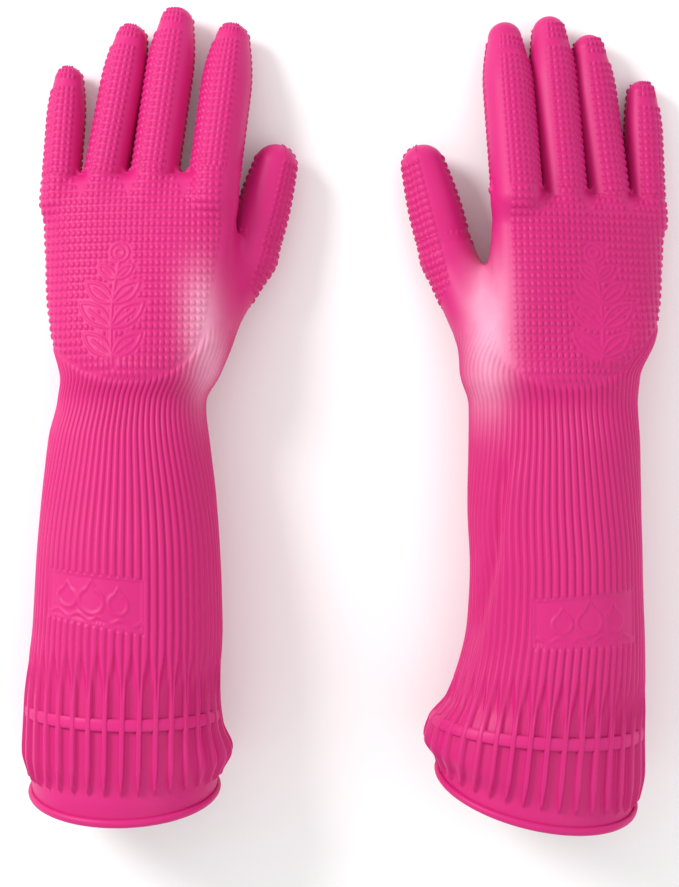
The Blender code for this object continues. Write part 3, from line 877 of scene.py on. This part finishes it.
def cut_block(glove, points, quads):
    """The block trimmed at the palm's ring and at each finger. It returns points, faces and rings."""
    shape = bmesh.new()
    vertices = [shape.verts.new(p) for p in points]
    for quad in quads:
        shape.faces.new([vertices[k] for k in quad])
    shape.verts.ensure_lookup_table()
    shape.verts.index_update()
    distances, owner = nearest_finger(glove, points)
    planes = []
    for k, name in enumerate(FINGERS):
        root, along, _, _ = finger_frame(glove, name)
        start = cut_distance(glove, name) - 0.0006
        t = (points - root) @ along
        mine = (owner == k) & (t > start - 0.0025) & (distances[k] < 0.003)
        planes.append((root + along * start, along, mine))
    below = points[:, 1] < JOIN_Y + 0.006
    planes.append((np.array((0, JOIN_Y + 0.0004, 0)), np.array((0.0, -1.0, 0.0)), below))
    flags = [plane[2] for plane in planes]
    faces = [[] for _ in planes]
    for face in shape.faces:
        corner = [v.index for v in face.verts]
        for k, flag in enumerate(flags):
            if all(flag[c] for c in corner):
                faces[k].append(face)
                break
    for (place, direction, _), chosen in zip(planes, faces):
        chosen = [f for f in chosen if f.is_valid]
        parts = set(chosen)
        for face in chosen:
            parts.update(face.edges)
            parts.update(face.verts)
        bmesh.ops.bisect_plane(
            shape, geom=list(parts), dist=1e-7, plane_co=Vector(place), plane_no=Vector(direction),
            clear_outer=True,
        )
    bmesh.ops.triangulate(shape, faces=[f for f in shape.faces if len(f.verts) > 4])
    loose = [v for v in shape.verts if not v.link_faces]
    bmesh.ops.delete(shape, geom=loose, context="VERTS")
    shape.verts.index_update()
    made = np.array([v.co[:] for v in shape.verts])
    four = np.array([[v.index for v in f.verts] for f in shape.faces if len(f.verts) == 4])
    three = np.array([[v.index for v in f.verts] for f in shape.faces if len(f.verts) == 3])
    edge = np.array([[v.index for v in e.verts] for e in shape.edges if e.is_boundary])
    rings = []
    for k, (place, direction, _) in enumerate(planes):
        off = np.abs((made[edge] - place) @ direction).max(axis=1)
        from_axis = np.linalg.norm(made[edge] - place, axis=2).max(axis=1)
        limit = 0.020 if k < len(FINGERS) else 1.0
        rings.append(longest_loop(edge[(off < 2e-5) & (from_axis < limit)].tolist()))
    shape.free()
    return made, four, three, rings


def tube_rows(glove, name):
    """Rows of a finger from its own start to the tip: distance, radius, arc and slope of each."""
    length = FINGERS[name][0]
    tip = root_radius(name) * TIP_SHARE[name]
    start = cut_distance(glove, name)
    step = NUB_ALONG_FINGER / 6
    straight = np.arange(start, length - tip, step)
    if length - tip - straight[-1] < step / 2:
        straight = straight[:-1]
    turn = np.linspace(0, math.pi / 2, 24)[:-1]
    distance = np.concatenate((straight, length - tip + tip * np.sin(turn)))
    radius = np.concatenate((finger_radius(name, straight), tip * np.cos(turn)))
    arc = np.concatenate(((0.0,), np.cumsum(np.hypot(np.diff(distance), np.diff(radius)))))
    lean = np.concatenate((np.zeros(len(straight)), turn))
    return distance, radius, arc, lean


def tube_points(glove, name, first, last):
    """Displaced rings of a finger between two distances from its root."""
    root, along, across, back = finger_frame(glove, name)
    _, _, width = FINGERS[name]
    columns = round(math.pi * width / NUB_ACROSS) * 5
    distance, radius, arc, lean = tube_rows(glove, name)
    keep = (distance >= first - 1e-9) & (distance <= last + 1e-9)
    distance, radius, arc, lean = (v[keep][:, None] for v in (distance, radius, arc, lean))
    angle = np.pi * 2 * np.arange(columns)[None, :] / columns + 0 * distance
    angle = (angle + math.pi) % (2 * math.pi) - math.pi
    field = finger_relief(name, arc + NUB_ALONG_FINGER / 2 + 0 * angle, angle)
    radial = np.cos(angle)[..., None] * back + np.sin(angle)[..., None] * across
    normal = radial * np.cos(lean)[..., None] + along * np.sin(lean)[..., None]
    points = root + along * distance[..., None] + radial * radius[..., None]
    return points + normal * (field * NUB_HEIGHT)[..., None]


def tube_split(glove, name):
    """The ring at which a finger's root piece hands over to its tip piece."""
    base = FINGERS[name][1]
    distance = tube_rows(glove, name)[0]
    wanted = base - (0.0085 if name != "little" else 0.0070)
    return distance[np.argmin(np.abs(distance - wanted))]


def build_hand(glove, material):
    """The palm, the back of the hand, the webs and the roots of thumb and fingers."""
    skin = Skin()
    ys = np.concatenate((np.linspace(WRIST_FRONT, 0.019, 8)[:-1], np.arange(0.019, JOIN_Y, 0.00052)))
    ys = np.append(ys, JOIN_Y)
    points, pale = ringed_hand(glove, ys)
    _, top = skin.add_grid(points, pale)
    block, quads = block_mesh(glove, 0.00052)
    block, four, three, rings = cut_block(glove, block, quads)
    slope = gradient(glove, block)
    normals = slope / np.linalg.norm(slope, axis=1, keepdims=True)
    none = np.zeros(len(block))
    height = hand_relief(glove, block, normals, none, 0.0)
    first = skin.add_points(block + normals * height[:, None], pale_sheen_share(glove, block, normals))
    skin.quads.append(four + first)
    skin.triangles.append(three + first)
    skin.zip_rings(rings[-1] + first, top)
    for name, ring in zip(FINGERS, rings):
        start = cut_distance(glove, name)
        tube = tube_points(glove, name, start, start)[0]
        numbers = skin.add_points(tube) + np.arange(len(tube))
        skin.zip_rings(ring + first, numbers)
    skin.face_out(glove)
    return skin.build(glove, "hand_skin", material)


def ringed_hand(glove, ys):
    """Displaced rings of wrist and lower palm, and their share of the paler patch, partly painted
    highlight.
    """
    ys = np.asarray(ys, float)
    base = hand_rows(glove, ys)
    flat = base.reshape(-1, 3)
    slope = gradient(glove, flat)
    normals = slope / np.linalg.norm(slope, axis=1, keepdims=True)
    angles = column_angles(ys).ravel()
    ribs = np.tile(rib_profile(np.arange(COLUMNS)), len(ys)) * RIB_DEPTH * 0.85
    share = rib_share_on_hand(glove, flat, angles)
    height = hand_relief(glove, flat, normals, share, ribs)
    moved = flat + normals * height[:, None]
    moved[:, 1] = flat[:, 1] + (moved[:, 1] - flat[:, 1]) * smoothstep(0.0, 0.002, JOIN_Y - flat[:, 1])
    return moved.reshape(base.shape), pale_sheen_share(glove, flat, normals)


def build_wrist(glove, material):
    skin = Skin()
    ys = np.linspace(WRIST_BACK, WRIST_FRONT, 22)
    points, pale = ringed_hand(glove, ys)
    skin.add_grid(points, pale)
    return skin.build(glove, "wrist_skin", material)


def build_finger(glove, name, material):
    """A finger as its root piece and its tip piece."""
    distance = tube_rows(glove, name)[0]
    split = tube_split(glove, name)
    made = []
    for part, first, last in (("root", distance[0], split), ("tip", split, distance[-1])):
        skin = Skin()
        points = tube_points(glove, name, first, last)
        _, end = skin.add_grid(points, flip=True)
        if part == "tip":
            root, along, _, _ = finger_frame(glove, name)
            pole = skin.add_points(root + along * FINGERS[name][0])
            following = np.roll(end, -1)
            skin.triangles.append(np.stack((end, following, np.full(len(end), pole)), axis=1)[:, ::-1])
        made.append(skin.build(glove, f"{name}_{part}_skin", material))
    return made


# ---------------------------------------------------------------- sleeve and cuff
def panel_height(glove, points):
    """How much of the label panel is at each point, and the height of what stands on it."""
    x0, x1, top0, top1, low0, low1 = glove["panel"]
    share = (points[..., 0] - x0) / (x1 - x0)
    top = top0 + (top1 - top0) * share
    low = low0 + (low1 - low0) * share
    tall = (points[..., 1] - low) / (top - low)
    width, height = x1 - x0, (top0 - low0 + top1 - low1) / 2
    u, v = (share - 0.5) * width, (tall - 0.5) * height
    inside = np.maximum(np.abs(u) - width / 2, np.abs(v) - height / 2)
    inside = np.where(points[..., 2] > 0.020, inside, 1.0)
    plate = 1 - smoothstep(-0.0007, 0.0003, inside)
    relief = np.zeros(u.shape)
    near = plate > 0.5
    un, vn = u[near], v[near]
    drops = np.full(un.shape, 1.0)
    for dx, size in ((-0.0125, 0.0042), (-0.0015, 0.0055), (0.0105, 0.0042)):
        body = np.hypot(un - dx, vn + 0.0005) - size
        point = np.abs(un - dx) * 1.9 + (vn + 0.0005 - size * 1.75) * 0.9
        drop = np.minimum(body, np.maximum(point, -(vn + 0.0005)))
        drops = np.minimum(drops, np.abs(drop) - 0.0005)
    wave = np.abs(vn + 0.0078 - 0.0011 * np.sin(un * 2 * math.pi / 0.0095)) - 0.0005
    beads = np.hypot((un / 0.0016 + 0.5) % 1.0 - 0.5, (vn + height / 2 - 0.0016) / 0.0016) * 0.0016
    shape = np.minimum(np.minimum(drops, wave), beads - 0.0005)
    relief[near] = 1 - smoothstep(-0.0001, 0.0006, shape)
    border = 1 - smoothstep(0.0002, 0.0007, np.abs(inside + 0.0009))
    return plate, np.maximum(relief, border * plate)


def fold_height(glove, points):
    """A soft slanting fold in the back of the sleeve: a hollow with a low ridge beside it."""
    if "fold" not in glove:
        return 0.0
    xs, ys = glove["fold"]
    across = points[..., 0] - np.interp(points[..., 1], ys, xs)
    ends = smoothstep(ys[0], ys[0] + 0.020, points[..., 1])
    ends = ends * (1 - smoothstep(ys[-1] - 0.015, ys[-1], points[..., 1]))
    ends = ends * smoothstep(0.020, 0.028, points[..., 2])
    hollow = np.exp(-((across / 0.0026) ** 2))
    ridge = np.exp(-(((across + 0.0065) / 0.0042) ** 2))
    return (0.0010 * ridge - 0.0023 * hollow) * ends


def sleeve_rows(glove, ys):
    """Displaced rings of the sleeve and cuff."""
    ys = np.asarray(ys, float)
    angles = column_angles(ys)
    base, outward = sleeve_points(glove, ys, angles)
    height, pleated = sleeve_relief(glove, ys)
    height = height * (1 - 0.15 * smoothstep(-0.060, WRIST_BACK, ys))[:, None]
    plate, relief = panel_height(glove, base)
    height = height * (1 - plate) + plate * (0.00030 + 0.00045 * relief)
    height = height + fold_height(glove, base)
    points = base + outward * height[..., None]
    return rest_on_table(points, SLEEVE_LIFT)


def build_sleeve(glove, material):
    skin = Skin()
    band = -glove["band_place"] * SLEEVE_LENGTH
    ys = np.concatenate(
        (
            np.arange(WRIST_BACK - 0.002, -0.064, -0.0020),
            np.arange(-0.066, -0.1115, -0.0006),
            np.arange(-0.112, band + 0.0004, -0.0009),
            (band,),
        )
    )
    joined = ringed_hand(glove, [WRIST_BACK])[0]
    points = np.concatenate((joined, sleeve_rows(glove, ys)))
    upward = np.zeros((points.shape[0] * points.shape[1], 3))
    upward[:, 2] = np.sin(column_angles(np.append(WRIST_BACK, ys))).ravel()
    # The paler patch with its painted highlight reaches the sleeve's end, on the side facing up.
    skin.add_grid(points, pale_sheen_share(glove, points.reshape(-1, 3), upward), flip=True)
    return skin.build(glove, "sleeve_skin", material)


def build_cuff(glove, material):
    skin = Skin()
    band = -glove["band_place"] * SLEEVE_LENGTH
    rim = -glove["rim_place"] * SLEEVE_LENGTH
    ys = np.append(np.arange(band, rim + 0.0004, -0.0009), rim)
    skin.add_grid(sleeve_rows(glove, ys), flip=True)
    return skin.build(glove, "cuff_skin", material)


def ring_bar(glove, name, place, half_width, thick, stand, material, squareness=3.0):
    """A closed ring round the sleeve with a rounded section."""
    skin = Skin()
    turns = np.linspace(0, 2 * math.pi, 14)[:-1]
    y0 = -place * SLEEVE_LENGTH
    rows = []
    for turn in turns:
        c, s = math.cos(turn), math.sin(turn)
        along = math.copysign(abs(c) ** (2 / squareness), c) * half_width
        out = math.copysign(abs(s) ** (2 / squareness), s) * thick / 2
        y = np.array([y0 + along])
        angles = column_angles(y)[:, ::2]
        base, outward = sleeve_points(glove, y, angles)
        points = base + outward * (stand + out)
        rows.append(rest_on_table(points, 0.0002 + thick / 2 - out)[0])
    rows.append(rows[0])
    skin.add_grid(np.array(rows))
    return skin.build(glove, name, material)


# ---------------------------------------------------------------- finishes
def rubber(name, colour, pale_sheen_colour, roughness):
    """Satin latex: its tone drifts a little, it is paler over the thumb's root (thinned rubber with a
    painted highlight), and it is finely grained.
    """
    material = bpy.data.materials.new(name)
    material.use_nodes = True
    tree = material.node_tree
    nodes, links = tree.nodes, tree.links
    shader = nodes["Principled BSDF"]
    shader.inputs["Roughness"].default_value = roughness
    shader.inputs["Specular IOR Level"].default_value = 0.26
    shader.inputs["IOR"].default_value = 1.5
    place = nodes.new("ShaderNodeTexCoord")
    drift = nodes.new("ShaderNodeTexNoise")
    drift.inputs["Scale"].default_value = 14.0
    drift.inputs["Detail"].default_value = 3.0
    links.new(place.outputs["Object"], drift.inputs["Vector"])
    tone = nodes.new("ShaderNodeMix")
    tone.data_type = "RGBA"
    tone.inputs[6].default_value = (*[c * 0.93 for c in colour], 1)
    tone.inputs[7].default_value = (*[min(c * 1.07, 1) for c in colour], 1)
    links.new(drift.outputs["Fac"], tone.inputs[0])
    # The paler patch over the thumb's root, read per point: partly thinned rubber, partly a painted
    # highlight.
    pale_sheen_attribute = nodes.new("ShaderNodeAttribute")
    pale_sheen_attribute.attribute_name = "pale"
    blotch = nodes.new("ShaderNodeTexNoise")
    blotch.inputs["Scale"].default_value = 160.0
    blotch.inputs["Detail"].default_value = 2.0
    links.new(place.outputs["Object"], blotch.inputs["Vector"])
    spread = nodes.new("ShaderNodeMath")
    spread.operation = "MULTIPLY_ADD"
    spread.inputs[1].default_value = 0.35
    spread.inputs[2].default_value = 0.80
    links.new(blotch.outputs["Fac"], spread.inputs[0])
    amount = nodes.new("ShaderNodeMath")
    amount.operation = "MULTIPLY"
    amount.use_clamp = True
    links.new(pale_sheen_attribute.outputs["Fac"], amount.inputs[0])
    links.new(spread.outputs["Value"], amount.inputs[1])
    with_pale_sheen = nodes.new("ShaderNodeMix")
    with_pale_sheen.data_type = "RGBA"
    with_pale_sheen.inputs[7].default_value = (*pale_sheen_colour, 1)
    links.new(amount.outputs["Value"], with_pale_sheen.inputs[0])
    links.new(tone.outputs[2], with_pale_sheen.inputs[6])
    links.new(with_pale_sheen.outputs[2], shader.inputs["Base Color"])
    grain = nodes.new("ShaderNodeTexNoise")
    grain.inputs["Scale"].default_value = 1400.0
    grain.inputs["Detail"].default_value = 2.0
    links.new(place.outputs["Object"], grain.inputs["Vector"])
    bump = nodes.new("ShaderNodeBump")
    bump.inputs["Strength"].default_value = 0.10
    bump.inputs["Distance"].default_value = 0.0002
    links.new(grain.outputs["Fac"], bump.inputs["Height"])
    links.new(bump.outputs["Normal"], shader.inputs["Normal"])
    return material


def floor_material():
    material = bpy.data.materials.new("plain_floor")
    material.use_nodes = True
    shader = material.node_tree.nodes["Principled BSDF"]
    shader.inputs["Base Color"].default_value = (0.97, 0.97, 0.97, 1)
    shader.inputs["Roughness"].default_value = 0.9
    return material


# ---------------------------------------------------------------- joining the pieces' shading
def share_normals(pieces):
    """Where two pieces meet, both take the mean of their directions, so that no cut shows."""
    places, directions = [], []
    for obj in pieces:
        count = len(obj.data.vertices)
        co = np.empty(count * 3, np.float32)
        obj.data.vertices.foreach_get("co", co)
        normal = np.empty(count * 3, np.float32)
        obj.data.vertices.foreach_get("normal", normal)
        places.append(co.reshape(-1, 3))
        directions.append(normal.reshape(-1, 3))
    every = np.concatenate(places)
    _, index = np.unique(np.round(every * 5e5).astype(np.int64), axis=0, return_inverse=True)
    index = index.reshape(-1)
    total = np.zeros((index.max() + 1, 3))
    np.add.at(total, index, np.concatenate(directions))
    total /= np.maximum(np.linalg.norm(total, axis=1, keepdims=True), 1e-9)
    shared = total[index]
    first = 0
    for obj, co in zip(pieces, places):
        mine = shared[first : first + len(co)]
        obj.data.normals_split_custom_set_from_vertices(mine.tolist())
        first += len(co)


# ---------------------------------------------------------------- settings
class GloveSettings(bpy.types.PropertyGroup):
    """What a user may change about the rubber."""

    colour: FloatVectorProperty(
        name="Rubber", description="Colour of the hand and the sleeve", subtype="COLOR",
        size=3, min=0, max=1, default=(0.570, 0.014, 0.168),
    )
    # Colour of the paler patch over the thumb's root: thinned rubber with a painted highlight.
    pale: FloatVectorProperty(
        name="Paler rubber and painted highlight", description="Colour over the root of the thumb", subtype="COLOR",
        size=3, min=0, max=1, default=(0.76, 0.30, 0.45),
    )
    roughness: FloatProperty(
        name="Roughness", description="How matt the rubber is", default=0.46, min=0, max=1,
        subtype="FACTOR",
    )
    band_stand: FloatProperty(
        name="Band height", description="How far the elastic band stands over the valleys",
        default=0.0001, min=0, max=0.005, unit="LENGTH",
    )
    bead_size: FloatProperty(
        name="Bead size", description="Thickness of the rolled rim", default=0.0034,
        min=0.001, max=0.010, unit="LENGTH",
    )


def settings():
    return bpy.context.scene.rubber_gloves


def finish(kind):
    """The rubber of one part of the mould, made once."""
    name = f"{kind}_latex"
    if name not in bpy.data.materials:
        chosen = settings()
        shade = {"hand": 1.0, "sleeve": 0.98, "band": 1.04}[kind]
        colour = [min(c * shade, 1.0) for c in chosen.colour]
        rubber(name, colour, chosen.pale, chosen.roughness)
    return bpy.data.materials[name]


def prepare(glove):
    """Where this glove lies, read from the frame's wrist joint."""
    if "origin" not in glove:
        x, y, _ = JOINTS[f"{glove['name']}_wrist_bend"]["pos_m"]
        glove["origin"] = np.array((x, y - WRIST_JOINT_Y, 0.0))
        glove["table"] = body_table(glove)
        glove["frames"] = {}
        points = []
        names = list(glove["fingers"])
        for first, second in zip(names, names[1:]):
            a = finger_frame(glove, first)[0]
            b = finger_frame(glove, second)[0]
            points.append(((a[0] + b[0]) / 2, glove["web_y"]))
        glove["web_points"] = points
        glove["pieces"] = []


# ---------------------------------------------------------------- operators
class GLOVES_OT_hands(bpy.types.Operator):
    """Make the palms, webs and thumb roots"""

    bl_idname = "rubber_gloves.hands"
    bl_label = "Hands"

    def execute(self, context):
        for glove in GLOVES:
            prepare(glove)
            n = glove["name"]
            piece = build_hand(glove, finish("hand"))
            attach(piece, f"{n}_hand")
            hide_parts(f"{n}_hand")
            glove["pieces"].append(piece)
        return {"FINISHED"}


class GLOVES_OT_fingers(bpy.types.Operator):
    """Make the fingers and thumbs, each as a root piece and a tip piece"""

    bl_idname = "rubber_gloves.fingers"
    bl_label = "Fingers"

    def execute(self, context):
        for glove in GLOVES:
            prepare(glove)
            n = glove["name"]
            for name in FINGERS:
                root, along, _, _ = finger_frame(glove, name)
                start, split = cut_distance(glove, name), tube_split(glove, name)
                root_piece, tip_piece = build_finger(glove, name, finish("hand"))
                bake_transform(root_piece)
                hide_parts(f"{n}_{name}_base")
                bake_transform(tip_piece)
                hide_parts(f"{n}_{name}_tip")
                for piece in (root_piece, tip_piece):
                    glove["pieces"].append(piece)
        return {"FINISHED"}


class GLOVES_OT_sleeves(bpy.types.Operator):
    """Make the ribbed wrists and sleeves"""

    bl_idname = "rubber_gloves.sleeves"
    bl_label = "Sleeves"

    def execute(self, context):
        for glove in GLOVES:
            prepare(glove)
            n = glove["name"]
            wrist = build_wrist(glove, finish("hand"))
            centre_z = smooth_rows(*glove["table"], np.array([WRIST_BACK]))[0][3]
            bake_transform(wrist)
            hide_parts(f"{n}_wrist")
            sleeve = build_sleeve(glove, finish("hand"))
            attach(sleeve, f"{n}_sleeve")
            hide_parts(f"{n}_sleeve")
            for piece in (wrist, sleeve):
                glove["pieces"].append(piece)
        return {"FINISHED"}


class GLOVES_OT_cuffs(bpy.types.Operator):
    """Make the pleated cuffs with their elastic bands and rolled rims"""

    bl_idname = "rubber_gloves.cuffs"
    bl_label = "Cuffs"

    def execute(self, context):
        for glove in GLOVES:
            prepare(glove)
            n = glove["name"]
            cuff = build_cuff(glove, finish("hand"))
            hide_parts(f"{n}_pleated_cuff")
            chosen = settings()
            band = ring_bar(
                glove, "band", glove["band_place"], BAND_HALF_WIDTH, BAND_THICKNESS,
                chosen.band_stand, finish("band"),
            )
            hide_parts(f"{n}_elastic_band")
            rim = ring_bar(
                glove, "rolled_rim", glove["rim_place"], chosen.bead_size / 2, chosen.bead_size,
                BEAD_STAND, finish("hand"), ROUND_SECTION,
            )
            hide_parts(f"{n}_rim")
            for piece, slot in ((cuff, "sleeve_rubber"), (band, "band_rubber"), (rim, "sleeve_rubber")):
                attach(piece, f"{n}_sleeve")
            glove["pieces"].append(cuff)
        return {"FINISHED"}


class GLOVES_OT_shading(bpy.types.Operator):
    """Carry the shading smoothly over the cuts between pieces"""

    bl_idname = "rubber_gloves.shading"
    bl_label = "Even shading"

    def execute(self, context):
        for glove in GLOVES:
            share_normals(glove["pieces"])
        return {"FINISHED"}


def area_light(name, place, target, size, power):
    data = bpy.data.lights.new(name, "AREA")
    data.shape = "DISK"
    data.size = size
    data.energy = power
    lamp = bpy.data.objects.new(name, data)
    lamp.location = place
    lamp.rotation_mode = "QUATERNION"
    lamp.rotation_quaternion = (Vector(target) - Vector(place)).to_track_quat("-Z", "Y")
    bpy.context.scene.collection.objects.link(lamp)
    return lamp


class GLOVES_OT_stage(bpy.types.Operator):
    """Set the pale floor, the soft light and the camera straight above"""

    bl_idname = "rubber_gloves.stage"
    bl_label = "Stage"

    def execute(self, context):
        scene = context.scene
        low, high = CAD_BOX
        mesh = bpy.data.meshes.new("floor")
        half = FLOOR_HALF_WIDTH
        corners = [(-half, -half, 0), (half, -half, 0), (half, half, 0), (-half, half, 0)]
        mesh.from_pydata(corners, [], [(0, 1, 2, 3)])
        mesh.materials.append(floor_material())
        floor = bpy.data.objects.new("floor", mesh)
        floor.location.z = low.z - FLOOR_GAP
        scene.collection.objects.link(floor)
        world = bpy.data.worlds.new("studio")
        world.use_nodes = True
        world.node_tree.nodes["Background"].inputs[0].default_value = (1, 1, 1, 1)
        world.node_tree.nodes["Background"].inputs[1].default_value = WORLD_STRENGTH
        scene.world = world
        middle = (low + high) / 2
        area_light("key", (-1.0, 0.65, 0.85), middle, 0.6, 15.0)
        area_light("fill", (0.9, -0.4, 1.5), middle, 1.4, 4.0)
        scene.view_settings.view_transform = "Standard"
        data = bpy.data.cameras.new("camera")
        data.sensor_width = 36.0
        data.lens = CAMERA_LENS
        data.clip_start = 0.01
        camera = bpy.data.objects.new("camera", data)
        camera.location = CAMERA_PLACE
        scene.collection.objects.link(camera)
        scene.camera = camera
        return {"FINISHED"}


class GLOVES_PT_panel(bpy.types.Panel):
    """Sizes, colours and steps of the gloves"""

    bl_idname = "GLOVES_PT_panel"
    bl_label = "Rubber gloves"
    bl_space_type = "VIEW_3D"
    bl_region_type = "UI"
    bl_category = "Gloves"

    def draw(self, context):
        layout = self.layout
        for name in GloveSettings.__annotations__:
            layout.prop(context.scene.rubber_gloves, name)
        for operator in OPERATORS:
            layout.operator(operator.bl_idname)


OPERATORS = (
    GLOVES_OT_hands,
    GLOVES_OT_fingers,
    GLOVES_OT_sleeves,
    GLOVES_OT_cuffs,
    GLOVES_OT_shading,
    GLOVES_OT_stage,
)
CLASSES = (GloveSettings, *OPERATORS, GLOVES_PT_panel)


def register():
    for each in CLASSES:
        bpy.utils.register_class(each)
    bpy.types.Scene.rubber_gloves = PointerProperty(type=GloveSettings)


def unregister():
    del bpy.types.Scene.rubber_gloves
    for each in reversed(CLASSES):
        bpy.utils.unregister_class(each)


def main():
    register()
    bpy.ops.rubber_gloves.hands()
    bpy.ops.rubber_gloves.fingers()
    bpy.ops.rubber_gloves.sleeves()
    bpy.ops.rubber_gloves.cuffs()
    bpy.ops.rubber_gloves.shading()
    bpy.ops.rubber_gloves.stage()


if __name__ == "__main__":
    main()
